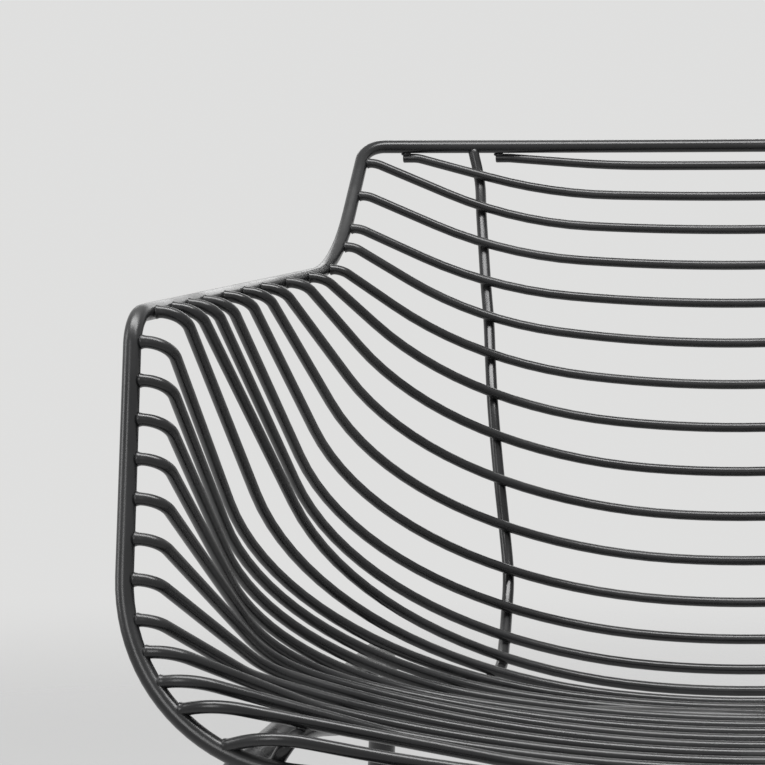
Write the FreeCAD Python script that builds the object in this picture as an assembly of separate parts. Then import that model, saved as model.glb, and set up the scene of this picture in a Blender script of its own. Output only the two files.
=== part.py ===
import FreeCAD, Part
import math
import os

# Wire armchair: a closed rim rod, bent cross wires welded to it and to two stringers, on a bent tube base.
# Millimetres, +Z up, front towards -Y. Heights are from the floor, depths from the arm's front corner.

os.makedirs("parts", exist_ok=True)
Vector = FreeCAD.Vector
SIDEWAYS = Vector(1, 0, 0)
UPWARDS = Vector(0, 0, 1)

# Rod and tube sizes
rim_diameter = 9.0
wire_diameter = 6.0
stringer_diameter = 7.0
leg_diameter = 16.0
crossbar_diameter = 12.0
weld_gap = 0.1
smallest_straight = 0.01

# Flats round each section, and how far a flat may stand off the bend it follows
wire_sides = 8
rim_sides = 10
tube_sides = 12
wire_facet_depth = 1.7
rim_facet_depth = 0.18
tube_facet_depth = 0.7

# Rim corners
top_corner_half_width = 236.0
top_corner_depth = 478.0
top_corner_height = 750.8
elbow_half_width = 240.0
elbow_depth = 388.0
elbow_height = 670.5
arm_corner_half_width = 268.0
arm_corner_height = 655.0
top_bar_bow = 55.0
top_bar_rise = 1.4
top_corner_radius = 20.0
elbow_radius = 150.0
arm_corner_radius = 22.0
front_corner_radius = 91.0
front_corner_half_width = 258.0
front_corner_rise = 10.0
front_bar_bow = 4.0

# Centre line of the shell, from the top bar down the back and forward over the seat
wire_count = 28
wire_pitch = 28.0
first_wire_distance = 19.5
back_top_lean = math.radians(47)
back_foot_lean = math.radians(10.5)
back_length = 270.0
rear_bend_radius = 116.0
seat_slope = math.radians(4.6)
seat_straight = 333.0
front_edge_radius = 250.0
front_edge_turn = math.radians(8)
front_bar_pitch = 20.0

# Where each wire meets the rim: 0 top middle, 1 top corner, 2 elbow, 3 arm corner, 4 front corner, 5 front middle
wire_seats = [(1, 0.64), (2, 0.9), (3, 1.13), (5, 1.69), (7, 2.07), (10, 2.47), (13, 2.75), (16, 2.95),
              (17, 3.06), (24, 3.76), (27, 4.01), (28, 4.12)]
hanging_wires = 2

# Bend of each half wire: lip at the rim, lip bend, steep side, corner arc and wide middle arc
lip_length = [(1, 8), (3, 5.4), (24, 5.4), (28, 10)]
lip_bend_radius = [(1, 23), (6, 13), (24, 13), (28, 44)]
lip_rise = [(24, 0), (28, math.radians(26))]
side_steepness = [(1, 2.2), (6, 2.2), (10, 1.69), (15, 1.55), (20, 1.94), (24, 2.2), (27, 1.67), (28, 3.2)]
corner_share = [(1, 0.06), (6, 0.31), (10, 0.65), (15, 0.66), (20, 0.3), (24, 0.1), (27, 0.29), (28, 0.6)]
middle_share = [(1, 0.05), (6, 0.24), (10, 0.06), (15, 0.08), (20, 0.21), (24, 0.64), (27, 0.7), (28, 0.4)]

# Stringers: half spacing at each wire, counted on to the front bar as one wire more than the last
stringer_spread = [(0, 168), (7, 142.5), (12, 124.5), (15, 122), (28, 181), (29, 189)]

# Base: side frames of bent tube, two crossbars and four glides; the rails stand 450 mm above the floor
rail_above_front_crossbar = 13.7991
front_shoulder_half_width = 210.0
rear_shoulder_half_width = 193.0
rear_shoulder_depth = 288.0
shoulder_radius = 34.0
front_foot_half_width = 236.0
rear_foot_half_width = 228.0
front_foot_reach = 12.0
rear_foot_reach = 130.0
front_crossbar_drop = 18.0
front_bar_side_step = 2.0
wire_count_to_rear_crossbar = 18
rear_crossbar_setback = 3.7133
rear_crossbar_bend_half_width = 155.0
crossbar_bend_radius = 25.0
glide_diameter = 21.0
glide_top_diameter = 19.0
glide_height = 14.0
glide_floor_thickness = 5.0
glide_clearance = 0.1


# The value of a short table of (wire number, value) at one wire, straight between its entries
def between(table, number):
    if number <= table[0][0]:
        return table[0][1]
    for (low, low_value), (high, high_value) in zip(table, table[1:]):
        if number <= high:
            share = (number - low) / (high - low)
            return low_value + (high_value - low_value) * share
    return table[-1][1]


def unit(vector):
    return vector * (1 / vector.Length)


def mirrored(point):
    return Vector(-point.x, point.y, point.z)


# A flat-sided section ring whose flats or corners stand off the centre by the rod's radius
def section_ring(centre, axis_a, axis_b, diameter, sides, flats_out=True):
    reach = diameter / 2
    if flats_out:
        reach = reach / math.cos(math.pi / sides)
    ring = []
    for i in range(sides):
        angle = (i + 0.5) * 2 * math.pi / sides
        ring.append(centre + axis_a * (reach * math.cos(angle)) + axis_b * (reach * math.sin(angle)))
    return ring


def rod_through(rings):
    outlines = [Part.makePolygon(ring + ring[:1]) for ring in rings]
    return Part.makeLoft(outlines, True, True)


def reach_towards(ring, centre, direction):
    return max((p - centre).dot(direction) for p in ring)


# Cut a rod's end ring back along the rod so that it lies flush against another rod
def butt(ring, outwards, axis_point, axis_along, axis_ring):
    facing = unit(outwards - axis_along * outwards.dot(axis_along)) * -1
    seat = axis_point + facing * (reach_towards(axis_ring, axis_point, facing) + weld_gap)
    return [p + outwards * ((seat - p).dot(facing) / outwards.dot(facing)) for p in ring]


# A rod's centre line through corner points, each rounded by an arc; radius None takes all the room
class RodPath:
    def __init__(self, corners, radii, side):
        self.pieces = []
        self.marks = [0.0]
        self.length = 0.0
        here = corners[0]
        for i in range(1, len(corners) - 1):
            arc = self.arc_at(corners, radii, i)
            self.add_line(here, arc["start"])
            self.marks.append(self.length + arc["radius"] * arc["sweep"] / 2)
            self.add_piece(arc, arc["radius"] * arc["sweep"])
            here = arc["end"]
        self.add_line(here, corners[-1])
        self.marks.append(self.length)
        # Carry one side direction along the path without twist, so that sections line up
        along = self.pieces[0]["along"]
        side = unit(side - along * side.dot(along))
        for piece in self.pieces:
            piece["side"] = side
            side = self.turned(piece, side, piece["length"])

    def half_angle(self, corners, i):
        back = unit(corners[i - 1] - corners[i])
        ahead = unit(corners[i + 1] - corners[i])
        return back, ahead, math.acos(back.dot(ahead)) / 2

    def arc_at(self, corners, radii, i):
        back, ahead, half_angle = self.half_angle(corners, i)
        radius = radii[i]
        if radius is None:
            rooms = [self.room(corners, radii, i, i - 1), self.room(corners, radii, i, i + 1)]
            radius = min(rooms) * math.tan(half_angle)
        tangent = radius / math.tan(half_angle)
        centre = corners[i] + unit(back + ahead) * (radius / math.sin(half_angle))
        start = corners[i] + back * tangent
        return {"start": start, "end": corners[i] + ahead * tangent, "centre": centre, "radius": radius,
                "sweep": math.pi - 2 * half_angle, "out": unit(start - centre), "along": back * -1}

    # Length of straight left beside a corner once its neighbour is rounded
    def room(self, corners, radii, i, neighbour):
        span = (corners[neighbour] - corners[i]).Length
        if radii[neighbour]:
            half_angle = self.half_angle(corners, neighbour)[2]
            span -= radii[neighbour] / math.tan(half_angle)
        return span

    def add_line(self, start, end):
        span = (end - start).Length
        if span > smallest_straight:
            self.add_piece({"start": start, "along": unit(end - start)}, span)

    def add_piece(self, piece, span):
        self.pieces.append(dict(piece, **{"from": self.length, "length": span}))
        self.length += span

    def turned(self, piece, vector, run):
        if "radius" not in piece:
            return vector
        angle = math.degrees(run / piece["radius"])
        return FreeCAD.Rotation(piece["out"].cross(piece["along"]), angle).multVec(vector)

    def piece_at(self, distance):
        return [p for p in self.pieces if p["from"] <= distance][-1]

    def at(self, distance):
        piece = self.piece_at(distance)
        run = distance - piece["from"]
        along = self.turned(piece, piece["along"], run)
        if "radius" in piece:
            return piece["centre"] + self.turned(piece, piece["out"], run) * piece["radius"], along
        return piece["start"] + along * run, along

    def ring(self, distance, diameter, sides, flats_out=False):
        point, along = self.at(distance)
        piece = self.piece_at(distance)
        side = self.turned(piece, piece["side"], distance - piece["from"])
        return section_ring(point, side, along.cross(side), diameter, sides, flats_out)

    # Distance along the path of a mark: the middle of corner 1 is mark 1, and so on
    def distance_of(self, mark):
        low = min(int(mark), len(self.marks) - 2)
        return self.marks[low] + (self.marks[low + 1] - self.marks[low]) * (mark - low)

    def distance_at_width(self, half_width, wide, narrow):
        for _ in range(40):
            middle = (wide + narrow) / 2
            if abs(self.at(middle)[0].x) > half_width:
                wide = middle
            else:
                narrow = middle
        return middle

    def rings(self, start, end, diameter, sides, depth):
        distances = [start]
        for piece in self.pieces:
            low = max(piece["from"], start)
            high = min(piece["from"] + piece["length"], end)
            if high <= low:
                continue
            count = 1
            if "radius" in piece:
                count = math.ceil((high - low) / math.sqrt(8 * piece["radius"] * depth))
            distances += [low + (high - low) * i / count for i in range(1, count + 1)]
        return [self.ring(distance, diameter, sides) for distance in distances]


# Distance of a wire's middle from the top bar, along the centre line of the shell
def wire_distance(number):
    return first_wire_distance + wire_pitch * (number - 1)


# Points on the centre line of the shell, (depth, height), at a distance from the top bar
def shell_profile(start, distance):
    seat_lean = math.pi / 2 + seat_slope
    stretches = [(back_length, back_top_lean, back_foot_lean),
                 (rear_bend_radius * (seat_lean - back_foot_lean), back_foot_lean, seat_lean),
                 (seat_straight, seat_lean, seat_lean),
                 (front_edge_radius * front_edge_turn, seat_lean, seat_lean - front_edge_turn),
                 (wire_pitch * 4, seat_lean - front_edge_turn, seat_lean - front_edge_turn)]
    depth, height = start
    for length, lean, end_lean in stretches:
        run = min(distance, length)
        turn = (end_lean - lean) / length
        last = lean + turn * run
        if abs(turn) < 1e-9:
            depth -= math.sin(lean) * run
            height -= math.cos(lean) * run
        else:
            depth += (math.cos(last) - math.cos(lean)) / turn
            height -= (math.sin(last) - math.sin(lean)) / turn
        distance -= run
        if distance <= 0:
            break
    return Vector(0, depth, height)


# One half of a wire in its own plane: arcs and straights from the middle out to the rim
class HalfWire:
    def __init__(self, number, half_width, drop):
        self.lip = between(lip_length, number)
        self.lip_radius = between(lip_bend_radius, number)
        self.rise = between(lip_rise, number)
        self.steep = between(side_steepness, number) * math.atan2(max(drop, 1), half_width)
        self.gentle = self.steep * between(middle_share, number)
        share = between(corner_share, number)
        # The straight side and the middle radius follow from the width and the drop
        across = half_width - self.lip * math.cos(self.rise)
        across -= self.lip_radius * (math.sin(self.rise) + math.sin(self.steep))
        down = drop + self.lip * math.sin(self.rise)
        down -= self.lip_radius * (math.cos(self.rise) - math.cos(self.steep))
        arcs_across = share * (math.sin(self.steep) - math.sin(self.gentle)) + math.sin(self.gentle)
        arcs_down = share * (math.cos(self.gentle) - math.cos(self.steep)) + 1 - math.cos(self.gentle)
        size = math.cos(self.steep) * arcs_down - arcs_across * math.sin(self.steep)
        self.straight = (across * arcs_down - arcs_across * down) / size
        self.middle_radius = (math.cos(self.steep) * down - math.sin(self.steep) * across) / size
        self.corner_radius = share * self.middle_radius

    # Stations (across, up, slope) with enough of them to keep each facet near its arc
    def stations(self, crossing):
        found = [(0.0, 0.0, 0.0)]
        bends = [(self.middle_radius, 0.0, self.gentle), (self.corner_radius, self.gentle, self.steep),
                 (None, self.straight, self.steep), (self.lip_radius, self.steep, -self.rise),
                 (None, self.lip, -self.rise)]
        for radius, low, high in bends:
            x, y, _ = found[-1]
            if radius is None:
                found.append((x + low * math.cos(high), y + low * math.sin(high), high))
                continue
            step = math.sqrt(8 * radius * wire_facet_depth)
            count = max(1, math.ceil(radius * abs(high - low) / step))
            way = 1 if high > low else -1
            for i in range(1, count + 1):
                slope = low + (high - low) * i / count
                across = x + way * radius * (math.sin(slope) - math.sin(low))
                up = y + way * radius * (math.cos(low) - math.cos(slope))
                found.append((across, up, slope))
        if crossing is not None:
            found = self.with_crossing(found, crossing)
        return found

    def with_crossing(self, found, across):
        middle_reach = self.middle_radius * math.sin(self.gentle)
        corner_reach = middle_reach + self.corner_radius * (math.sin(self.steep) - math.sin(self.gentle))
        if across <= middle_reach:
            slope = math.asin(across / self.middle_radius)
            up = self.middle_radius * (1 - math.cos(slope))
        elif across <= corner_reach:
            slope = math.asin(math.sin(self.gentle) + (across - middle_reach) / self.corner_radius)
            up = self.middle_radius * (1 - math.cos(self.gentle))
            up += self.corner_radius * (math.cos(self.gentle) - math.cos(slope))
        else:
            slope = self.steep
            corner_up = self.middle_radius * (1 - math.cos(self.gentle))
            corner_up += self.corner_radius * (math.cos(self.gentle) - math.cos(slope))
            up = corner_up + (across - corner_reach) * math.tan(slope)
        nearest = min(range(1, len(found)), key=lambda i: abs(found[i][0] - across))
        self.crossing = (across, up, slope)
        if abs(found[nearest][0] - across) < wire_diameter:
            found[nearest] = self.crossing
        else:
            found.append(self.crossing)
        return sorted(found, key=lambda station: station[0])


# The rim's left half runs from the top middle round to the front middle; the right half is its mirror image
top_corner = Vector(top_corner_half_width, top_corner_depth, top_corner_height)
elbow_corner = Vector(elbow_half_width, elbow_depth, elbow_height)
arm_corner = Vector(arm_corner_half_width, 0, arm_corner_height)
top_middle_corner = Vector(0, top_corner.y + 2 * top_bar_bow, top_corner.z + 2 * top_bar_rise)
left_top = mirrored(top_corner)
left_elbow = mirrored(elbow_corner)
left_arm = mirrored(arm_corner)
top_half = RodPath([top_corner, top_middle_corner, left_top, left_elbow], [0, None, top_corner_radius, 0],
                   SIDEWAYS)
top_middle = top_half.at(top_half.marks[1])[0]
profile_start = (top_middle.y, top_middle.z)
front_middle = shell_profile(profile_start, wire_distance(wire_count) + front_bar_pitch)
front_corner = Vector(front_corner_half_width, front_middle.y + front_bar_bow, front_middle.z + front_corner_rise)
front_middle_corner = Vector(0, front_middle.y - front_bar_bow, front_middle.z - front_corner_rise)
rim_path = RodPath([top_corner, top_middle_corner, left_top, left_elbow, left_arm, mirrored(front_corner),
                    front_middle_corner, front_corner],
                   [0, None, top_corner_radius, elbow_radius, arm_corner_radius, front_corner_radius, None, 0],
                   UPWARDS)
top_mark, front_mark = 1, len(rim_path.marks) - 2


def rim_ring(distance):
    return rim_path.ring(distance, rim_diameter, rim_sides)


def rim():
    rings = rim_path.rings(rim_path.marks[top_mark], rim_path.marks[front_mark], rim_diameter, rim_sides,
                           rim_facet_depth)
    for end_ring in (rings[0], rings[-1]):
        for point in end_ring:
            point.x = 0
    half = rod_through(rings)
    return half.fuse(half.mirror(Vector(0, 0, 0), SIDEWAYS))


# Everything about one cross wire: its plane, its half shape and where a stringer crosses it
class CrossWire:
    def __init__(self, number):
        self.number = number
        self.middle = shell_profile(profile_start, wire_distance(number))
        self.seat_distance = rim_path.distance_of(top_mark + between(wire_seats, number))
        self.seat, self.seat_along = rim_path.at(self.seat_distance)
        end = self.seat
        rising = unit(Vector(0, end.y - self.middle.y, end.z - self.middle.z))
        if number <= hanging_wires:
            side = unit(SIDEWAYS.cross(self.seat_along))
            end = end - rising * ((rim_diameter / 2 + wire_diameter / 2 + weld_gap) / abs(side.dot(rising)))
        self.end = end
        self.up = unit(Vector(0, end.y - self.middle.y, end.z - self.middle.z))
        self.normal = SIDEWAYS.cross(self.up)
        drop = (Vector(0, end.y, end.z) - self.middle).Length
        self.half = HalfWire(number, abs(end.x), drop)
        self.spread = between(stringer_spread, number)
        self.crossed = number > 1
        self.stations = self.half.stations(self.spread if self.crossed else None)

    def place(self, across, up):
        return self.middle + SIDEWAYS * across + self.up * up

    def ring(self, station, side):
        across, up, slope = station
        outwards = self.up * math.cos(slope) - SIDEWAYS * (side * math.sin(slope))
        return section_ring(self.place(side * across, up), self.normal, outwards, wire_diameter, wire_sides)

    def along(self, station, side):
        slope = station[2]
        return SIDEWAYS * (side * math.cos(slope)) + self.up * math.sin(slope)

    def end_ring(self):
        ring = self.ring(self.stations[-1], -1)
        if self.number <= hanging_wires:
            return ring
        outwards = self.along(self.stations[-1], -1)
        return butt(ring, outwards, self.seat, self.seat_along, rim_ring(self.seat_distance))

    def solid(self):
        left = [self.end_ring()] + [self.ring(s, -1) for s in reversed(self.stations[1:-1])]
        right = [[mirrored(p) for p in ring] for ring in reversed(left)]
        return rod_through(left + [self.ring(self.stations[0], -1)] + right)


wires = [CrossWire(number) for number in range(1, wire_count + 1)]
crossed_wires = [wire for wire in wires if wire.crossed]


# The left stringer: under the top bar, behind and below each wire, round the front bar and down
class Stringer:
    def __init__(self):
        self.top_distance = rim_path.distance_at_width(between(stringer_spread, 0), rim_path.marks[top_mark + 1],
                                                       rim_path.marks[top_mark])
        self.bar_distance = rim_path.distance_at_width(between(stringer_spread, wire_count + 1),
                                                       rim_path.marks[front_mark - 1], rim_path.marks[front_mark])
        touched = [(wire.place(-wire.spread, wire.half.crossing[1]), wire) for wire in crossed_wires]
        bar, bar_along = rim_path.at(self.bar_distance)
        spots = [rim_path.at(self.top_distance)[0]] + [spot for spot, _ in touched] + [bar]
        self.points = []
        self.outs = []
        for i, (spot, wire) in enumerate(touched, start=1):
            along = unit(spots[i + 1] - spots[i - 1])
            out = unit(wire.along(wire.half.crossing, -1).cross(along))
            if out.dot(wire.up) > 0:
                out = out * -1
            self.add(spot, out, wire.ring(wire.half.crossing, -1))
        # The last bend passes behind the front bar on its way down to the crossbar
        behind = unit(Vector(0, front_bar_side_step, -1))
        self.add(bar, unit(behind - bar_along * behind.dot(bar_along)), rim_ring(self.bar_distance))
        self.foot = self.points[-1] - UPWARDS * front_crossbar_drop

    def add(self, spot, out, ring):
        self.points.append(spot + out * (reach_towards(ring, spot, out) + weld_gap + stringer_diameter / 2))
        self.outs.append(out)

    def solid(self):
        line = [rim_path.at(self.top_distance)[0]] + self.points + [self.foot]
        outs = [self.outs[0]] + self.outs + [self.outs[-1]]
        rings = []
        for i, (point, out) in enumerate(zip(line, outs)):
            along = unit(line[min(i + 1, len(line) - 1)] - line[max(i - 1, 0)])
            facing = unit(out - along * out.dot(along))
            rings.append(section_ring(point, along.cross(facing), facing, stringer_diameter, wire_sides))
        upwards = unit(line[0] - line[1])
        rings[0] = butt(rings[0], upwards, line[0], rim_path.at(self.top_distance)[1],
                        rim_ring(self.top_distance))
        downwards = unit(line[-1] - line[-2])
        bar_ring = crossbar_ring(self.foot)
        rings[-1] = butt(rings[-1], downwards, self.foot, SIDEWAYS, bar_ring)
        return rod_through(rings)


def crossbar_ring(centre):
    return section_ring(centre, Vector(0, 1, 0), UPWARDS, crossbar_diameter, tube_sides)


left_stringer = Stringer()


# The rear crossbar lies across the undersides of the stringers, just behind where one wire crosses them
def rear_crossbar_axis():
    crossing = wire_count_to_rear_crossbar - crossed_wires[0].number
    spot = left_stringer.points[crossing]
    backwards = unit(left_stringer.points[crossing - 1] - spot)
    below = unit(SIDEWAYS.cross(backwards))
    if below.z > 0:
        below = below * -1
    spot = spot + backwards * rear_crossbar_setback
    spot = spot + below * (stringer_diameter / 2 + weld_gap + crossbar_diameter / 2)
    return Vector(0, spot.y, spot.z)


front_axis = Vector(0, left_stringer.foot.y, left_stringer.foot.z)
rear_axis = rear_crossbar_axis()
rail_height = front_axis.z + rail_above_front_crossbar


# The right side frame: foot, front bend, level rail, rear bend and foot; the front bend takes the crossbar
def side_frame_path():
    bend_centre_height = rail_height - shoulder_radius
    into_bend = math.sqrt(shoulder_radius ** 2 - (front_axis.z - bend_centre_height) ** 2)
    front_depth = front_axis.y + into_bend - shoulder_radius
    front_shoulder = Vector(front_shoulder_half_width, front_depth, rail_height)
    rear_shoulder = Vector(rear_shoulder_half_width, rear_shoulder_depth, rail_height)
    front_foot = Vector(front_foot_half_width, front_depth - front_foot_reach, glide_floor_thickness)
    rear_foot = Vector(rear_foot_half_width, rear_shoulder_depth + rear_foot_reach, glide_floor_thickness)
    return RodPath([front_foot, front_shoulder, rear_shoulder, rear_foot],
                   [0, shoulder_radius, shoulder_radius, 0], SIDEWAYS)


def nearest_on_path(path, depth, height):
    target = Vector(0, depth, height)
    gaps = []
    for distance in range(int(path.length)):
        point = path.at(distance)[0]
        gaps.append(((Vector(0, point.y, point.z) - target).Length, distance))
    return min(gaps)[1]


# A straight bar from side frame to side frame, its ends flush against their front bends
def front_crossbar(path):
    near = nearest_on_path(path, front_axis.y, front_axis.z)
    frame_point, frame_along = path.at(near)
    end = crossbar_ring(Vector(frame_point.x, front_axis.y, front_axis.z))
    end = butt(end, SIDEWAYS, frame_point, frame_along, path.ring(near, leg_diameter, tube_sides))
    return rod_through([end, [mirrored(p) for p in end]])


# A bent bar between the rails, its middle dropped to pass under the stringers
def rear_crossbar(path):
    near = nearest_on_path(path, rear_axis.y, rail_height)
    rail, rail_along = path.at(near)
    low = rear_axis + SIDEWAYS * rear_crossbar_bend_half_width
    bar = RodPath([mirrored(rail), mirrored(low), low, rail], [0, crossbar_bend_radius, crossbar_bend_radius, 0],
                  UPWARDS)
    rings = bar.rings(bar.length / 2, bar.length, crossbar_diameter, tube_sides, tube_facet_depth)
    rings[-1] = butt(rings[-1], bar.at(bar.length)[1], rail, rail_along,
                     path.ring(near, leg_diameter, tube_sides))
    left = [[mirrored(p) for p in ring] for ring in reversed(rings[1:])]
    return rod_through(left + rings)


# A moulded cap round the end of a leg, standing flat on the floor
def glide(foot, along):
    low = Vector(foot.x, foot.y, 0)
    depth_way = Vector(0, 1, 0)
    body = rod_through([section_ring(low, SIDEWAYS, depth_way, glide_diameter, tube_sides),
                        section_ring(low + UPWARDS * glide_height, SIDEWAYS, depth_way, glide_top_diameter,
                                     tube_sides)])
    start = foot - along * glide_clearance
    side = unit(SIDEWAYS - along * SIDEWAYS.dot(along))
    ends = [start, start + along * (glide_height * 2)]
    bore = rod_through([section_ring(end, side, along.cross(side), leg_diameter + 2 * glide_clearance,
                                     tube_sides) for end in ends])
    return body.cut(bore)


right_path = side_frame_path()
right_side_frame = rod_through(right_path.rings(0, right_path.length, leg_diameter, tube_sides, tube_facet_depth))

nodes = {"rim_rod": rim()}
for wire in wires:
    nodes["cross_wire_%02d" % wire.number] = wire.solid()
nodes["stringer_left"] = left_stringer.solid()
nodes["stringer_right"] = nodes["stringer_left"].mirror(Vector(0, 0, 0), SIDEWAYS)
nodes["side_frame_right"] = right_side_frame
nodes["side_frame_left"] = right_side_frame.mirror(Vector(0, 0, 0), SIDEWAYS)
nodes["crossbar_front"] = front_crossbar(right_path)
nodes["crossbar_rear"] = rear_crossbar(right_path)
front_foot, front_leg_along = right_path.at(0)
rear_foot, rear_leg_along = right_path.at(right_path.length)
for end, foot, along in (("front", front_foot, front_leg_along), ("rear", rear_foot, rear_leg_along * -1)):
    right_glide = glide(foot, along)
    nodes["glide_%s_right" % end] = right_glide
    nodes["glide_%s_left" % end] = right_glide.mirror(Vector(0, 0, 0), SIDEWAYS)

# Stand the chair over the middle of its footprint
whole = Part.makeCompound(list(nodes.values())).BoundBox
to_middle = Vector(0, -(whole.YMin + whole.YMax) / 2, 0)
for name, shape in nodes.items():
    placed = shape.copy()
    placed.translate(to_middle)
    placed.exportStep("parts/" + name + ".step")
print("size", round(whole.XLength, 1), round(whole.YLength, 1), round(whole.ZLength, 1))
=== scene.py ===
import bpy
import math
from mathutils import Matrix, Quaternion, Vector


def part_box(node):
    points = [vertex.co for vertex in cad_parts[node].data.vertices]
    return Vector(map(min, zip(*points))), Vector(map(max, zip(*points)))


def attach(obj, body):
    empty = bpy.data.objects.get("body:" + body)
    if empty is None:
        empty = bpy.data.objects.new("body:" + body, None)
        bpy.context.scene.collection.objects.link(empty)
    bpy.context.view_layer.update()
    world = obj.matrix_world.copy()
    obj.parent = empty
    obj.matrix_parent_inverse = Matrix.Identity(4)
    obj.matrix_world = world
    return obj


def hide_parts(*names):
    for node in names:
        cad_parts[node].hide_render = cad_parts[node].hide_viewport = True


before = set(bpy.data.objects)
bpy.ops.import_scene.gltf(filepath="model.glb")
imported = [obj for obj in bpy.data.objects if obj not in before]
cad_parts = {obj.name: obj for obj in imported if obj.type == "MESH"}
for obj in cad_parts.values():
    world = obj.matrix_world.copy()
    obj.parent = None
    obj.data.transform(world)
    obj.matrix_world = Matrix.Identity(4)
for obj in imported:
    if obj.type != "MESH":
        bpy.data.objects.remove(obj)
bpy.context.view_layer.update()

# Rods are worked out in millimetres from the floor, with depth 0 at the arm's front corner

rimRod = {
    "diameter": 9.0,
    "drawnDiameter": 8.6,           # as wide as the flats of the plain solid
    "sides": 28,
    "topCorner": (236.0, 478.0, 750.8),
    "elbow": (240.0, 388.0, 670.5),
    "armCorner": (268.0, 0.0, 655.0),
    "topBarBow": 55.0,
    "topBarRise": 1.4,
    "topCornerRadius": 20.0,
    "elbowRadius": 150.0,
    "armCornerRadius": 22.0,
    "frontCornerRadius": 91.0,
    "frontCornerHalfWidth": 258.0,
    "frontCornerRise": 10.0,
    "frontBarBow": 4.0,
}

shellLine = {                       # centre line of the shell, top bar to front bar
    "wireCount": 28,
    "pitch": 28.0,
    "firstWire": 19.5,
    "topLean": 47.0,                # degrees off upright at the top of the back
    "footLean": 10.5,
    "backLength": 270.0,
    "rearBendRadius": 116.0,
    "seatSlope": 4.6,
    "seatStraight": 333.0,
    "frontEdgeRadius": 250.0,
    "frontEdgeTurn": 8.0,
    "frontBarPitch": 20.0,
}

crossWires = {
    "diameter": 6.0,
    "sides": 20,
    "hanging": 2,                   # wires that end under the top bar
    # how far a wire runs into the rim rod, widens beside it and narrows inside it
    "weld": {"sunk": 1.6, "spread": 0.55, "length": 2.4, "taper": 1.2},
    "weldStations": (1.6, 2.2, 2.9, 3.7, 4.6),
    "endRound": 0.7,                # edge of the two hanging wires' cut ends
    "endStations": (0.06, 0.2, 0.42, 0.7, 1.2),
    "bead": (3.4, 1.5, 1.9),        # half sizes of the weld that holds a hanging wire
    "beadReach": 2.0,
    "seats": [(1, 0.64), (2, 0.9), (3, 1.13), (5, 1.69), (7, 2.07), (10, 2.47), (13, 2.75), (16, 2.95),
              (17, 3.06), (24, 3.76), (27, 4.01), (28, 4.12)],
    "lip": [(1, 8), (3, 5.4), (24, 5.4), (28, 10)],
    "lipRadius": [(1, 23), (6, 13), (24, 13), (28, 44)],
    "lipRise": [(24, 0), (28, math.radians(26))],
    "steepness": [(1, 2.2), (6, 2.2), (10, 1.69), (15, 1.55), (20, 1.94), (24, 2.2), (27, 1.67), (28, 3.2)],
    "cornerShare": [(1, 0.06), (6, 0.31), (10, 0.65), (15, 0.66), (20, 0.3), (24, 0.1), (27, 0.29),
                    (28, 0.6)],
    "middleShare": [(1, 0.05), (6, 0.24), (10, 0.06), (15, 0.08), (20, 0.21), (24, 0.64), (27, 0.7),
                    (28, 0.4)],
}

stringerRods = {
    "diameter": 7.0,
    "sides": 20,
    "spread": [(0, 168), (7, 142.5), (12, 124.5), (15, 122), (28, 181), (29, 189)],
    "dropToCrossbar": 18.0,
    "stepBehindBar": 2.0,
    "bead": (2.9, 1.5, 2.1),        # half sizes of the weld where a wire crosses
}

tubeBase = {
    "legDiameter": 16.0,
    "barDiameter": 12.0,
    "sides": 32,
    "railHeight": 450.0,
    "frontHalfWidth": 210.0,
    "rearHalfWidth": 193.0,
    "rearDepth": 288.0,
    "shoulderRadius": 34.0,
    "frontFootHalfWidth": 236.0,
    "rearFootHalfWidth": 228.0,
    "frontFootReach": 12.0,
    "rearFootReach": 130.0,
    "rearBarDepth": 212.0,
    "rearBarBend": 155.0,           # half width of the rear crossbar's dropped middle
    "barBendRadius": 25.0,
    "barWeld": {"sunk": 1.5, "spread": 1.6, "length": 3.6, "taper": 1.2},
    "barStations": (1.5, 2.2, 3.0, 4.0, 5.0),
}

glideCaps = {
    "diameter": 21.0,
    "topDiameter": 19.0,
    "height": 14.0,
    "floorThickness": 5.0,
    "edgeRound": 1.6,
    "lip": [(0.0, 0.8), (0.25, 0.25), (0.8, 0.0)],      # in from the side and down from the top
    "lipDip": 0.3,                  # fall of the lip towards the leg
    "legOverlap": 0.2,              # how far the lip runs into the leg
    "sides": 40,
}

weldGap = 0.1
sideways = Vector((1, 0, 0))
print("settings read")


def between(table, number):         # straight steps between the entries of a short table
    if number <= table[0][0]:
        return table[0][1]
    for (low, lowValue), (high, highValue) in zip(table, table[1:]):
        if number <= high:
            return lowValue + (highValue - lowValue) * (number - low) / (high - low)
    return table[-1][1]


def mirrored(point):
    return Vector((-point.x, point.y, point.z))


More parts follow.
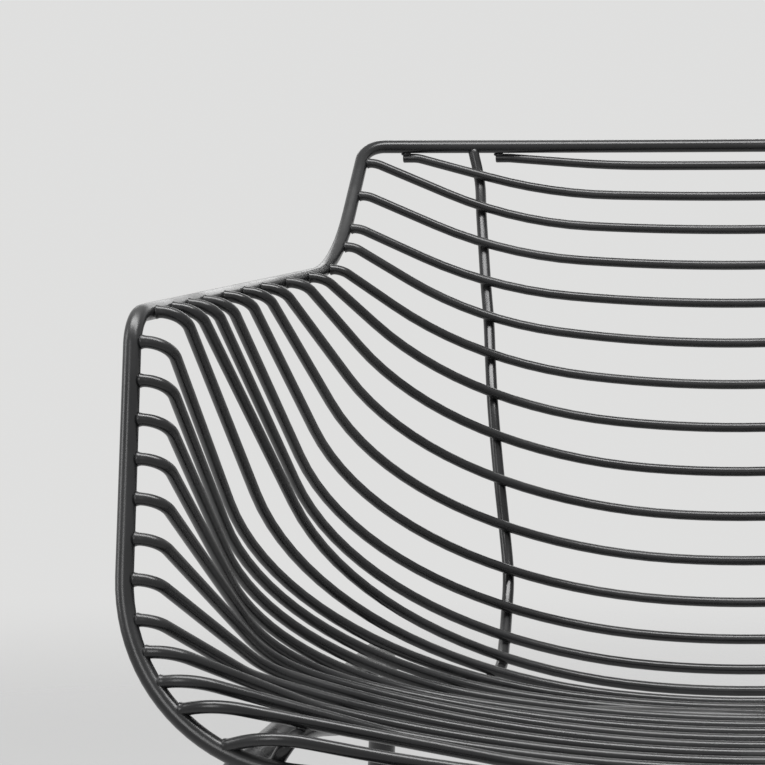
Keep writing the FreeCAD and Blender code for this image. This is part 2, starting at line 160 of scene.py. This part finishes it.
class BentPath:                     # straights and arcs through corner points
    def __init__(self, corners, radii):
        self.pieces = []
        self.marks = [0.0]
        self.length = 0.0
        here = corners[0]
        for i in range(1, len(corners) - 1):
            arc = self.roundCorner(corners, radii, i)
            self.addLine(here, arc["start"])
            self.marks.append(self.length + arc["radius"] * arc["sweep"] / 2)
            self.addPiece(arc, arc["radius"] * arc["sweep"])
            here = arc["end"]
        self.addLine(here, corners[-1])
        self.marks.append(self.length)

    def halfAngle(self, corners, i):
        back = (corners[i - 1] - corners[i]).normalized()
        ahead = (corners[i + 1] - corners[i]).normalized()
        return back, ahead, math.acos(max(-1, min(1, back.dot(ahead)))) / 2

    def roundCorner(self, corners, radii, i):
        back, ahead, half = self.halfAngle(corners, i)
        radius = radii[i]
        if radius is None:          # take all the room there is
            rooms = []
            for neighbour in (i - 1, i + 1):
                room = (corners[neighbour] - corners[i]).length
                if radii[neighbour]:
                    room -= radii[neighbour] / math.tan(self.halfAngle(corners, neighbour)[2])
                rooms.append(room)
            radius = min(rooms) * math.tan(half)
        tangent = radius / math.tan(half)
        centre = corners[i] + (back + ahead).normalized() * (radius / math.sin(half))
        start = corners[i] + back * tangent
        return {"start": start, "end": corners[i] + ahead * tangent, "centre": centre, "radius": radius,
                "sweep": math.pi - 2 * half, "out": (start - centre).normalized(), "along": -back}

    def addLine(self, start, end):
        if (end - start).length > 0.01:
            self.addPiece({"start": start, "along": (end - start).normalized()}, (end - start).length)

    def addPiece(self, piece, span):
        self.pieces.append(dict(piece, begin=self.length, span=span))
        self.length += span

    def at(self, distance):
        piece = [p for p in self.pieces if p["begin"] <= distance + 1e-9][-1]
        run = distance - piece["begin"]
        if "radius" not in piece:
            return piece["start"] + piece["along"] * run, piece["along"]
        angle = run / piece["radius"]
        out = piece["out"] * math.cos(angle) + piece["along"] * math.sin(angle)
        along = piece["along"] * math.cos(angle) - piece["out"] * math.sin(angle)
        return piece["centre"] + out * piece["radius"], along

    def distanceOf(self, mark):
        low = min(int(mark), len(self.marks) - 2)
        return self.marks[low] + (self.marks[low + 1] - self.marks[low]) * (mark - low)

    def distanceAtWidth(self, halfWidth, wide, narrow):
        for _ in range(40):
            middle = (wide + narrow) / 2
            if abs(self.at(middle)[0].x) > halfWidth:
                wide = middle
            else:
                narrow = middle
        return middle

    def points(self, start, end, degrees=4.0):
        found = [self.at(start)[0]]
        for piece in self.pieces:
            low = max(piece["begin"], start)
            high = min(piece["begin"] + piece["span"], end)
            if high - low < 1e-6:
                continue
            turn = math.degrees((high - low) / piece["radius"]) if "radius" in piece else 0
            count = max(1, math.ceil(turn / degrees))
            if "radius" in piece:
                count = max(count, math.ceil((high - low) / 25))
            found += [self.at(low + (high - low) * (i / count) * (1 - 1e-12))[0] for i in range(1, count + 1)]
        return found


def shellPoint(start, distance):    # down the back and forward over the seat
    seatLean = math.radians(90 + shellLine["seatSlope"])
    footLean = math.radians(shellLine["footLean"])
    edgeTurn = math.radians(shellLine["frontEdgeTurn"])
    stretches = [(shellLine["backLength"], math.radians(shellLine["topLean"]), footLean),
                 (shellLine["rearBendRadius"] * (seatLean - footLean), footLean, seatLean),
                 (shellLine["seatStraight"], seatLean, seatLean),
                 (shellLine["frontEdgeRadius"] * edgeTurn, seatLean, seatLean - edgeTurn),
                 (shellLine["pitch"] * 4, seatLean - edgeTurn, seatLean - edgeTurn)]
    depth, height = start
    for length, lean, endLean in stretches:
        run = min(distance, length)
        turn = (endLean - lean) / length
        last = lean + turn * run
        if abs(turn) < 1e-9:
            depth -= math.sin(lean) * run
            height -= math.cos(lean) * run
        else:
            depth += (math.cos(last) - math.cos(lean)) / turn
            height -= (math.sin(last) - math.sin(lean)) / turn
        distance -= run
        if distance <= 0:
            break
    return Vector((0, depth, height))


def wireDistance(number):
    return shellLine["firstWire"] + shellLine["pitch"] * (number - 1)


topCorner, elbow, armCorner = (Vector(rimRod[k]) for k in ("topCorner", "elbow", "armCorner"))
topMiddleCorner = Vector((0, topCorner.y + 2 * rimRod["topBarBow"], topCorner.z + 2 * rimRod["topBarRise"]))
topHalf = BentPath([topCorner, topMiddleCorner, mirrored(topCorner), mirrored(elbow)],
                   [0, None, rimRod["topCornerRadius"], 0])
topMiddle = topHalf.at(topHalf.marks[1])[0]
shellStart = (topMiddle.y, topMiddle.z)
frontMiddle = shellPoint(shellStart, wireDistance(shellLine["wireCount"]) + shellLine["frontBarPitch"])
frontCorner = Vector((rimRod["frontCornerHalfWidth"], frontMiddle.y + rimRod["frontBarBow"],
                      frontMiddle.z + rimRod["frontCornerRise"]))
frontMiddleCorner = Vector((0, frontMiddle.y - rimRod["frontBarBow"],
                            frontMiddle.z - rimRod["frontCornerRise"]))
rimPath = BentPath([topCorner, topMiddleCorner, mirrored(topCorner), mirrored(elbow), mirrored(armCorner),
                    mirrored(frontCorner), frontMiddleCorner, frontCorner],
                   [0, None, rimRod["topCornerRadius"], rimRod["elbowRadius"], rimRod["armCornerRadius"],
                    rimRod["frontCornerRadius"], None, 0])
topMark, frontMark = 1, 6


class CrossWire:                    # one bent wire: a flat curve between two points of the rim
    def __init__(self, number):
        self.number = number
        self.middle = shellPoint(shellStart, wireDistance(number))
        self.hangs = number <= crossWires["hanging"]
        rimPoint, rimAlong = rimPath.at(rimPath.distanceOf(topMark + between(crossWires["seats"], number)))
        rising = Vector((0, rimPoint.y - self.middle.y, rimPoint.z - self.middle.z)).normalized()
        self.end = rimPoint
        self.trim = 0 if self.hangs else rimRod["diameter"] / 2 - crossWires["weld"]["sunk"]
        if self.hangs:
            side = sideways.cross(rimAlong).normalized()
            offset = rimRod["diameter"] / 2 + crossWires["diameter"] / 2 + weldGap
            self.end = rimPoint - rising * (offset / abs(side.dot(rising)))
        self.up = Vector((0, self.end.y - self.middle.y, self.end.z - self.middle.z)).normalized()
        self.solve(abs(self.end.x), (Vector((0, self.end.y, self.end.z)) - self.middle).length)

    def solve(self, halfWidth, drop):
        number = self.number
        self.lip = between(crossWires["lip"], number)
        self.lipRadius = between(crossWires["lipRadius"], number)
        self.rise = between(crossWires["lipRise"], number)
        self.steep = between(crossWires["steepness"], number) * math.atan2(max(drop, 1), halfWidth)
        self.gentle = self.steep * between(crossWires["middleShare"], number)
        share = between(crossWires["cornerShare"], number)
        across = halfWidth - self.lip * math.cos(self.rise)
        across -= self.lipRadius * (math.sin(self.rise) + math.sin(self.steep))
        down = drop + self.lip * math.sin(self.rise)
        down -= self.lipRadius * (math.cos(self.rise) - math.cos(self.steep))
        arcsAcross = share * (math.sin(self.steep) - math.sin(self.gentle)) + math.sin(self.gentle)
        arcsDown = share * (math.cos(self.gentle) - math.cos(self.steep)) + 1 - math.cos(self.gentle)
        size = math.cos(self.steep) * arcsDown - arcsAcross * math.sin(self.steep)
        self.straight = (across * arcsDown - arcsAcross * down) / size
        self.middleRadius = (math.cos(self.steep) * down - math.sin(self.steep) * across) / size
        self.cornerRadius = share * self.middleRadius

    def halfCurve(self):            # across, up and slope from the middle out to the rim
        found = [(0.0, 0.0, 0.0)]
        bends = [(self.middleRadius, 0.0, self.gentle), (self.cornerRadius, self.gentle, self.steep),
                 (None, self.straight, self.steep), (self.lipRadius, self.steep, -self.rise),
                 (None, self.lip - self.trim, -self.rise)]
        for radius, low, high in bends:
            x, y, _ = found[-1]
            if radius is None:
                found.append((x + low * math.cos(high), y + low * math.sin(high), high))
                continue
            turn = abs(high - low)
            count = max(2, math.ceil(math.degrees(turn) / 4), math.ceil(radius * turn / 16))
            way = 1 if high > low else -1
            for i in range(1, count + 1):
                slope = low + (high - low) * i / count
                found.append((x + way * radius * (math.sin(slope) - math.sin(low)),
                              y + way * radius * (math.cos(low) - math.cos(slope)), slope))
        return found

    def place(self, across, up):
        return self.middle + sideways * across + self.up * up

    def points(self):
        half = [self.place(across, up) for across, up, _ in self.halfCurve()]
        return [mirrored(p) for p in reversed(half[1:])] + half

    def crossing(self, spread):     # where a stringer passes, and the wire's direction there
        curve = self.halfCurve()
        for (x0, y0, s0), (x1, y1, s1) in zip(curve, curve[1:]):
            if x0 <= spread <= x1:
                share = (spread - x0) / (x1 - x0)
                slope = s0 + (s1 - s0) * share
                along = Vector((-math.cos(slope), 0, 0)) + self.up * math.sin(slope)
                return self.place(-spread, y0 + (y1 - y0) * share), along


wires = [CrossWire(number) for number in range(1, shellLine["wireCount"] + 1)]
print("shell worked out:", len(wires), "wires")


def stringerPoints():
    topDistance = rimPath.distanceAtWidth(between(stringerRods["spread"], 0), rimPath.marks[topMark + 1],
                                          rimPath.marks[topMark])
    barDistance = rimPath.distanceAtWidth(between(stringerRods["spread"], shellLine["wireCount"] + 1),
                                          rimPath.marks[frontMark - 1], rimPath.marks[frontMark])
    top = rimPath.at(topDistance)[0]
    bar, barAlong = rimPath.at(barDistance)
    met = [wire.crossing(between(stringerRods["spread"], wire.number)) for wire in wires[1:]]
    spots = [top] + [spot for spot, _ in met] + [bar]
    reach = crossWires["diameter"] / 2 + weldGap + stringerRods["diameter"] / 2
    line = [top]
    for i, (spot, along) in enumerate(met, start=1):
        out = along.cross((spots[i + 1] - spots[i - 1]).normalized()).normalized()
        if out.dot(wires[i].up) > 0:
            out = -out
        line.append(spot + out * reach)
    behind = Vector((0, stringerRods["stepBehindBar"], -1)).normalized()
    behind = (behind - barAlong * behind.dot(barAlong)).normalized()
    line.append(bar + behind * (rimRod["diameter"] / 2 + weldGap + stringerRods["diameter"] / 2))
    line.append(line[-1] - Vector((0, 0, stringerRods["dropToCrossbar"])))
    return line


def curvedThrough(line, steps=5):   # an even curve through every point
    found = []
    for i in range(len(line) - 1):
        before = line[i - 1] if i else line[0] * 2 - line[1]
        after = line[i + 2] if i + 2 < len(line) else line[-1] * 2 - line[-2]
        startPull = (line[i + 1] - before) * 0.5
        endPull = (after - line[i]) * 0.5
        span = (line[i + 1] - line[i]).length
        startPull = startPull.normalized() * min(startPull.length, span)
        endPull = endPull.normalized() * min(endPull.length, span)
        for step in range(steps):
            t = step / steps
            found.append(line[i] * (2 * t ** 3 - 3 * t ** 2 + 1) + startPull * (t ** 3 - 2 * t ** 2 + t)
                         + line[i + 1] * (3 * t ** 2 - 2 * t ** 3) + endPull * (t ** 3 - t ** 2))
    return found + [line[-1]]


leftStringer = stringerPoints()
frontAxis = Vector((0, leftStringer[-1].y, leftStringer[-1].z))


def rearBarAxis():
    line = leftStringer[1:]
    ahead = [i for i in range(len(line)) if line[i].y < tubeBase["rearBarDepth"]][0]
    start, end = line[ahead - 1], line[ahead]
    spot = start + (end - start) * ((start.y - tubeBase["rearBarDepth"]) / (start.y - end.y))
    below = sideways.cross(end - start).normalized()
    if below.z > 0:
        below = -below
    spot = spot + below * (stringerRods["diameter"] / 2 + weldGap + tubeBase["barDiameter"] / 2)
    return Vector((0, spot.y, spot.z))


rearAxis = rearBarAxis()
bendCentre = tubeBase["railHeight"] - tubeBase["shoulderRadius"]
frontDepth = frontAxis.y + math.sqrt(tubeBase["shoulderRadius"] ** 2 - (frontAxis.z - bendCentre) ** 2)
frontDepth -= tubeBase["shoulderRadius"]
frontShoulder = Vector((tubeBase["frontHalfWidth"], frontDepth, tubeBase["railHeight"]))
rearShoulder = Vector((tubeBase["rearHalfWidth"], tubeBase["rearDepth"], tubeBase["railHeight"]))
frontFoot = Vector((tubeBase["frontFootHalfWidth"], frontDepth - tubeBase["frontFootReach"],
                    glideCaps["floorThickness"]))
rearFoot = Vector((tubeBase["rearFootHalfWidth"], tubeBase["rearDepth"] + tubeBase["rearFootReach"],
                   glideCaps["floorThickness"]))
legPath = BentPath([frontFoot, frontShoulder, rearShoulder, rearFoot],
                   [0, tubeBase["shoulderRadius"], tubeBase["shoulderRadius"], 0])


def nearestOnLeg(depth, height):    # the side frame's own point beside a crossbar
    found = [legPath.at(distance)[0] for distance in range(int(legPath.length))]
    return min(found, key=lambda point: (point.yz - Vector((depth, height))).length)


barLow, barHigh = (Vector(corner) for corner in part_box("crossbar_front"))
depthShift = (barLow.y + barHigh.y) * 500 - frontAxis.y
print("base worked out, depth shift", round(depthShift, 2))


def inFrame(point):                 # millimetres from the floor to the frame's metres
    return Vector((point.x, point.y + depthShift, point.z)) * 0.001


def tubeMesh(name, line, diameter, sides, closed=False, weld=None, endRound=0, beads=()):
    points = [inFrame(p) for p in line]
    count = len(points)
    alongs = []
    for i in range(count):
        ahead = points[(i + 1) % count] if closed or i + 1 < count else points[i]
        behind = points[i - 1] if closed or i else points[i]
        alongs.append((ahead - behind).normalized())
    side = alongs[0].orthogonal().normalized()
    frames = [side]
    for i in range(1, count):
        side = alongs[i - 1].rotation_difference(alongs[i]) @ side
        side = (side - alongs[i] * side.dot(alongs[i])).normalized()
        frames.append(side)
    twist = 0.0
    if closed:                      # spread what is left over evenly round the loop
        last = alongs[-1].rotation_difference(alongs[0]) @ frames[-1]
        twist = math.atan2(frames[0].cross(last).dot(alongs[0]), frames[0].dot(last))
    run = [0.0]
    for a, b in zip(points, points[1:]):
        run.append(run[-1] + (b - a).length)
    verts, faces = [], []
    for i in range(count):
        turned = Quaternion(alongs[i], -twist * i / count) @ frames[i]
        other = alongs[i].cross(turned)
        radius = diameter * 0.0005
        away = min(run[i], run[-1] - run[i]) * 1000
        if weld:                    # widest where it leaves the other rod, and tapering into it
            outside = max(0.0, away - weld["sunk"])
            radius += 0.001 * weld["spread"] * max(0.0, 1 - outside / weld["length"]) ** 2
            radius -= 0.001 * weld["taper"] * max(0.0, weld["sunk"] - away)
        if away < endRound:
            radius -= 0.001 * (endRound - math.sqrt(endRound ** 2 - (endRound - away) ** 2))
        for k in range(sides):
            angle = 2 * math.pi * k / sides
            verts.append(points[i] + turned * (radius * math.cos(angle)) + other * (radius * math.sin(angle)))
    for i in range(count if closed else count - 1):
        for k in range(sides):
            a, b = i * sides, ((i + 1) % count) * sides
            faces.append((a + k, a + (k + 1) % sides, b + (k + 1) % sides, b + k))
    if not closed:
        faces.append(tuple(reversed(range(sides))))
        faces.append(tuple(range((count - 1) * sides, count * sides)))
    for bead in beads:
        addBead(verts, faces, *bead)
    return newPiece(name, verts, faces)


def addBead(verts, faces, centre, long, wide, sizes):       # an egg of weld metal where two rods touch
    wide = (wide - long * wide.dot(long)).normalized()
    thick = long.cross(wide)
    rows, columns = 6, 12
    first = len(verts)
    for row in range(rows + 1):
        tilt = math.pi * row / rows
        for column in range(columns):
            angle = 2 * math.pi * column / columns
            spot = long * (sizes[0] * math.cos(tilt)) + wide * (sizes[1] * math.sin(tilt) * math.cos(angle))
            spot += thick * (sizes[2] * math.sin(tilt) * math.sin(angle))
            verts.append(inFrame(centre + spot))
    for row in range(rows):
        for column in range(columns):
            a, b = first + row * columns, first + (row + 1) * columns
            after = (column + 1) % columns
            faces.append((a + column, b + column, b + after, a + after))


def newPiece(name, verts, faces):
    mesh = bpy.data.meshes.new(name)
    mesh.from_pydata([tuple(v) for v in verts], [], faces)
    mesh.update()
    for face in mesh.polygons:
        face.use_smooth = len(face.vertices) == 4
    piece = bpy.data.objects.new(name, mesh)
    bpy.context.scene.collection.objects.link(piece)
    return piece


def denseEnds(line, lengths):       # extra stations near both ends, for the welds
    found = list(line)
    for flip in (False, True):
        if flip:
            found.reverse()
        start, step = found[0], (found[1] - found[0])
        extra = [start + step.normalized() * d for d in lengths if d < step.length * 0.98]
        found = [start] + extra + found[1:]
    found.reverse()
    return found


def standFor(piece, node):
    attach(piece, "root")
    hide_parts(node)


steelPieces, plasticPieces = [], []

rimLine = rimPath.points(rimPath.marks[topMark], rimPath.marks[frontMark])
rimLoop = rimLine + [mirrored(p) for p in reversed(rimLine[1:-1])]
rim = tubeMesh("rimRod", rimLoop, rimRod["drawnDiameter"], rimRod["sides"], closed=True)
standFor(rim, "rim_rod")
steelPieces.append(rim)
print("rim rod made")

for wire in wires:
    if wire.hangs:                  # cut ends under the top bar, each held by a bead of weld
        line = denseEnds(wire.points(), crossWires["endStations"])
        touch = wire.end + wire.up * (crossWires["diameter"] / 2)
        spots = [Vector((-side * (touch.x + crossWires["beadReach"]), touch.y, touch.z)) for side in (-1, 1)]
        look = {"endRound": crossWires["endRound"],
                "beads": [(spot, sideways, wire.up, crossWires["bead"]) for spot in spots]}
    else:
        line = denseEnds(wire.points(), crossWires["weldStations"])
        look = {"weld": crossWires["weld"]}
    piece = tubeMesh("crossWire%02d" % wire.number, line, crossWires["diameter"], crossWires["sides"], **look)
    standFor(piece, "cross_wire_%02d" % wire.number)
    steelPieces.append(piece)
print("cross wires made")

for node, side in (("stringer_left", 1), ("stringer_right", -1)):
    line = [Vector((p.x * side, p.y, p.z)) for p in curvedThrough(leftStringer)]
    beads = []
    for wire, below in zip(wires[1:], leftStringer[1:]):
        spot, along = wire.crossing(between(stringerRods["spread"], wire.number))
        touch = spot + (below - spot) * (crossWires["diameter"] / 2 / (below - spot).length)
        beads.append((Vector((touch.x * side, touch.y, touch.z)), Vector((along.x * side, along.y, along.z)),
                      wire.up, stringerRods["bead"]))
    piece = tubeMesh("stringerLeft" if side > 0 else "stringerRight", line, stringerRods["diameter"],
                     stringerRods["sides"], beads=beads)
    standFor(piece, node)
    steelPieces.append(piece)
print("stringers made")

legLine = legPath.points(0, legPath.length)
for node, side in (("side_frame_right", 1), ("side_frame_left", -1)):
    line = [Vector((p.x * side, p.y, p.z)) for p in legLine]
    piece = tubeMesh("sideFrameRight" if side > 0 else "sideFrameLeft", line, tubeBase["legDiameter"],
                     tubeBase["sides"])
    standFor(piece, node)
    steelPieces.append(piece)

barTrim = tubeBase["legDiameter"] / 2 - tubeBase["barWeld"]["sunk"]
reach = nearestOnLeg(frontAxis.y, frontAxis.z).x - barTrim
frontBarLine = [frontAxis - sideways * reach, frontAxis + sideways * reach]
rail = nearestOnLeg(rearAxis.y, tubeBase["railHeight"])
lowEnd = rearAxis + sideways * tubeBase["rearBarBend"]
rearEnd = rail - (rail - lowEnd).normalized() * barTrim
rearBar = BentPath([mirrored(rearEnd), mirrored(lowEnd), lowEnd, rearEnd],
                   [0, tubeBase["barBendRadius"], tubeBase["barBendRadius"], 0])
for node, line in (("crossbar_front", frontBarLine), ("crossbar_rear", rearBar.points(0, rearBar.length))):
    piece = tubeMesh("crossbarFront" if "front" in node else "crossbarRear",
                     denseEnds(line, tubeBase["barStations"]), tubeBase["barDiameter"], tubeBase["sides"],
                     weld=tubeBase["barWeld"])
    standFor(piece, node)
    steelPieces.append(piece)
print("base made")


def glideMesh(name, foot, along):   # a turned cap, rounded at the floor and hollow round the leg
    outer, top = glideCaps["diameter"] / 2, glideCaps["topDiameter"] / 2
    rounded, height = glideCaps["edgeRound"], glideCaps["height"]
    profile = [(0.0, 0.0), (outer - rounded, 0.0)]
    for i in range(1, 6):
        angle = math.pi / 2 * i / 5
        profile.append((outer - rounded + rounded * math.sin(angle), rounded - rounded * math.cos(angle)))
    profile += [(top - inset, height - drop) for inset, drop in glideCaps["lip"]]
    sides = glideCaps["sides"]
    verts = [Vector((foot.x, foot.y, 0))]
    faces = []
    for radius, z in profile[1:]:
        for k in range(sides):
            angle = 2 * math.pi * k / sides
            verts.append(Vector((foot.x + radius * math.cos(angle), foot.y + radius * math.sin(angle), z)))
    legRadius = tubeBase["legDiameter"] / 2 - glideCaps["legOverlap"]
    for k in range(sides):          # the lip's inner edge meets the leg
        angle = 2 * math.pi * k / sides
        leg = foot + along * ((height - foot.z) / along.z)
        verts.append(Vector((leg.x + legRadius * math.cos(angle), leg.y + legRadius * math.sin(angle),
                             height - glideCaps["lipDip"])))
    rows = len(profile)
    for k in range(sides):
        faces.append((0, 1 + (k + 1) % sides, 1 + k))
        for row in range(rows - 1):
            a = 1 + row * sides
            faces.append((a + k, a + (k + 1) % sides, a + sides + (k + 1) % sides, a + sides + k))
    return newPiece(name, [inFrame(v) for v in verts], faces)


legEnds = (("front", frontFoot, legPath.at(0)[1]), ("rear", rearFoot, -legPath.at(legPath.length)[1]))
for end, foot, along in legEnds:
    for sideName, side in (("right", 1), ("left", -1)):
        flipped = Vector((foot.x * side, foot.y, foot.z))
        leaning = Vector((along.x * side, along.y, along.z))
        piece = glideMesh("glide" + end.capitalize() + sideName.capitalize(), flipped, leaning)
        standFor(piece, "glide_%s_%s" % (end, sideName))
        plasticPieces.append(piece)
print("glides made")


class Value:                        # a socket that takes part in sums
    def __init__(self, recipe, socket):
        self.recipe, self.socket = recipe, socket

    def sum(self, operation, first, second):
        return self.recipe.add("ShaderNodeMath", {"operation": operation}, {0: first, 1: second})

    def __add__(self, other):
        return self.sum("ADD", self, other)

    def __radd__(self, other):
        return self.sum("ADD", other, self)

    def __sub__(self, other):
        return self.sum("SUBTRACT", self, other)

    def __rsub__(self, other):
        return self.sum("SUBTRACT", other, self)

    def __mul__(self, other):
        return self.sum("MULTIPLY", self, other)

    def __rmul__(self, other):
        return self.sum("MULTIPLY", other, self)


class Recipe:                       # a material's or the room's nodes
    def __init__(self, owner):
        self.owner = owner
        owner.use_nodes = True
        self.tree = owner.node_tree

    def add(self, kind, settings=None, inputs=None, output=0):
        node = self.tree.nodes.new(kind)
        for key, value in (settings or {}).items():
            setattr(node, key, value)
        for key, value in (inputs or {}).items():
            self.give(node.inputs[key], value)
        return Value(self, node.outputs[output])

    def give(self, socket, value):
        if isinstance(value, Value):
            self.tree.links.new(value.socket, socket)
        else:
            socket.default_value = value

    def shaderInput(self, name, value):
        self.give(self.tree.nodes["Principled BSDF"].inputs[name], value)

    def mixColours(self, factor, first, second):
        return self.add("ShaderNodeMix", {"data_type": "RGBA"}, {0: factor, 6: first, 7: second}, output=2)

    def smooth(self, value, low, high):
        return self.add("ShaderNodeMapRange", {"interpolation_type": "SMOOTHSTEP"},
                        {"Value": value, "From Min": low, "From Max": high})


powderCoat = {
    "colour": (0.006, 0.0061, 0.0064, 1),
    "paleColour": (0.011, 0.0112, 0.0118, 1),
    "dustColour": (0.06, 0.059, 0.056, 1),
    "dust": 0.15,
    "roughness": 0.21,
    "ior": 1.4,
    "grainScale": 1500.0,           # per metre
    "grainDepth": 0.00005,
    "cloudScale": 14.0,
}


def makePowderCoat():
    recipe = Recipe(bpy.data.materials.new("powderCoatBlack"))
    place = recipe.add("ShaderNodeTexCoord", output=3)
    grain = recipe.add("ShaderNodeTexNoise", None,
                       {"Vector": place, "Scale": powderCoat["grainScale"], "Detail": 2.0, "Roughness": 0.55})
    pits = recipe.add("ShaderNodeTexVoronoi", {"feature": "SMOOTH_F1"},
                      {"Vector": place, "Scale": powderCoat["grainScale"] * 0.45, "Smoothness": 0.6})
    clouds = recipe.add("ShaderNodeTexNoise", None,
                        {"Vector": place, "Scale": powderCoat["cloudScale"], "Detail": 4.0, "Roughness": 0.6})
    facing = recipe.add("ShaderNodeSeparateXYZ", None,
                        {"Vector": recipe.add("ShaderNodeNewGeometry", output=1)}, output=2)
    cloudMask = recipe.smooth(clouds, 0.38, 0.66)
    dustMask = recipe.smooth(facing, 0.35, 1.0) * cloudMask * powderCoat["dust"]
    base = recipe.mixColours(cloudMask * 0.6 + grain * 0.3, powderCoat["colour"], powderCoat["paleColour"])
    recipe.shaderInput("Base Color", recipe.mixColours(dustMask, base, powderCoat["dustColour"]))
    recipe.shaderInput("Roughness", powderCoat["roughness"] + cloudMask * 0.07 + dustMask * 0.5
                       + grain * 0.06)
    bump = recipe.add("ShaderNodeBump", None, {"Strength": 0.55, "Distance": powderCoat["grainDepth"],
                                               "Height": grain * 0.7 + pits * 0.5})
    recipe.shaderInput("Normal", bump)
    recipe.shaderInput("IOR", powderCoat["ior"])
    return recipe.owner


mouldedPlastic = {
    "colour": (0.012, 0.012, 0.0125, 1),
    "scuffColour": (0.05, 0.049, 0.047, 1),
    "roughness": 0.52,
    "grainScale": 2600.0,           # per metre
    "grainDepth": 0.00004,
    "scuffScale": 260.0,
    "scuffHeight": 0.006,           # metres above the floor
}


def makeMouldedPlastic():
    recipe = Recipe(bpy.data.materials.new("mouldedPlasticBlack"))
    place = recipe.add("ShaderNodeTexCoord", output=3)
    grain = recipe.add("ShaderNodeTexNoise", None, {"Vector": place, "Scale": mouldedPlastic["grainScale"],
                                                    "Detail": 2.0})
    scuffs = recipe.add("ShaderNodeTexNoise", None, {"Vector": place, "Scale": mouldedPlastic["scuffScale"],
                                                     "Detail": 6.0, "Roughness": 0.7})
    height = recipe.add("ShaderNodeSeparateXYZ", None, {"Vector": place}, output=2)
    nearFloor = 1 - recipe.smooth(height, 0.001, mouldedPlastic["scuffHeight"])
    scuffMask = recipe.smooth(scuffs, 0.5, 0.7) * nearFloor
    recipe.shaderInput("Base Color", recipe.mixColours(scuffMask, mouldedPlastic["colour"],
                                                       mouldedPlastic["scuffColour"]))
    recipe.shaderInput("Roughness", mouldedPlastic["roughness"] + scuffMask * 0.2 + grain * 0.08)
    bump = recipe.add("ShaderNodeBump", None, {"Strength": 0.4, "Distance": mouldedPlastic["grainDepth"],
                                               "Height": grain})
    recipe.shaderInput("Normal", bump)
    return recipe.owner


steel, plastic = makePowderCoat(), makeMouldedPlastic()
for piece in steelPieces:
    piece.data.materials.append(steel)
for piece in plasticPieces:
    piece.data.materials.append(plastic)
print("finishes on", len(steelPieces) + len(plasticPieces), "pieces")

studio = {
    "floorSize": 9.0,
    "fadeStart": 1.2,
    "fadeEnd": 3.4,
    "floorColour": (0.43, 0.43, 0.427, 1),
    "skyColour": (0.74, 0.74, 0.735, 1),
    "roomColour": (0.74, 0.74, 0.75, 1),
}


def makeFloor():                    # a pale floor that fades into the backdrop away from the chair
    half = studio["floorSize"] / 2
    verts = [(-half, -half, 0), (half, -half, 0), (half, half, 0), (-half, half, 0)]
    floor = newPiece("floor", verts, [(0, 1, 2, 3)])
    recipe = Recipe(bpy.data.materials.new("paleFloor"))
    place = recipe.add("ShaderNodeTexCoord", output=3)
    away = recipe.add("ShaderNodeVectorMath", {"operation": "LENGTH"}, {0: place}, output=1)
    recipe.shaderInput("Alpha", 1 - recipe.smooth(away, studio["fadeStart"], studio["fadeEnd"]))
    recipe.shaderInput("Base Color", studio["floorColour"])
    recipe.shaderInput("Roughness", 0.75)
    floor.data.materials.append(recipe.owner)


def makeRoom():                     # the eye and reflections see the backdrop, other rays the room
    recipe = Recipe(bpy.data.worlds.new("room"))
    bpy.context.scene.world = recipe.owner
    rays = ("Is Camera Ray", "Is Glossy Ray", "Is Transmission Ray")
    eye, mirror, glass = [recipe.add("ShaderNodeLightPath", output=ray) for ray in rays]
    room = recipe.add("ShaderNodeBackground", None, {"Color": studio["roomColour"]})
    sky = recipe.add("ShaderNodeBackground", None, {"Color": studio["skyColour"]})
    mixed = recipe.add("ShaderNodeMixShader", None, {0: eye + mirror + glass, 1: room, 2: sky})
    recipe.give(recipe.tree.nodes["World Output"].inputs["Surface"], mixed)


lamps = {
    "overhead": {"place": (0.0, -0.3, 2.1), "size": (1.9, 0.6), "watts": 60, "towards": (0, 0, 0.6)},
    "frontKey": {"place": (-0.9, -2.3, 1.5), "size": (0.6, 1.2), "watts": 16, "towards": (0, 0, 0.6)},
    "leftSoft": {"place": (-2.0, -0.5, 1.3), "size": (0.6, 1.4), "watts": 14, "towards": (0, 0, 0.5)},
    "rearEdge": {"place": (-0.3, 2.3, 1.6), "size": (2.2, 0.5), "watts": 9, "towards": (0, 0, 0.5)},
}


def makeLamps():
    for name, lamp in lamps.items():
        light = bpy.data.lights.new(name, "AREA")
        light.shape = "RECTANGLE"
        light.size, light.size_y = lamp["size"]
        light.energy = lamp["watts"]
        holder = bpy.data.objects.new(name, light)
        holder.location = lamp["place"]
        direction = Vector(lamp["towards"]) - Vector(lamp["place"])
        holder.rotation_euler = direction.to_track_quat("-Z", "Y").to_euler()
        bpy.context.scene.collection.objects.link(holder)


viewpoint = {"place": (21.27, -1093.9, 692.0), "yaw": 0.155, "pitchDown": 0.061, "lens": 112.94}


def makeCamera():
    camera = bpy.data.cameras.new("photoCamera")
    camera.lens = viewpoint["lens"]
    camera.sensor_width = 36.0
    camera.clip_start = 0.02
    holder = bpy.data.objects.new("photoCamera", camera)
    holder.location = inFrame(Vector(viewpoint["place"]))
    yaw, pitch = viewpoint["yaw"], viewpoint["pitchDown"]
    forward = Vector((-math.sin(yaw) * math.cos(pitch), math.cos(yaw) * math.cos(pitch), -math.sin(pitch)))
    holder.rotation_euler = forward.to_track_quat("-Z", "Y").to_euler()
    bpy.context.scene.collection.objects.link(holder)
    bpy.context.scene.camera = holder


makeFloor()
makeRoom()
makeLamps()
makeCamera()
bpy.context.scene.view_settings.view_transform = "Standard"
print("studio set up")
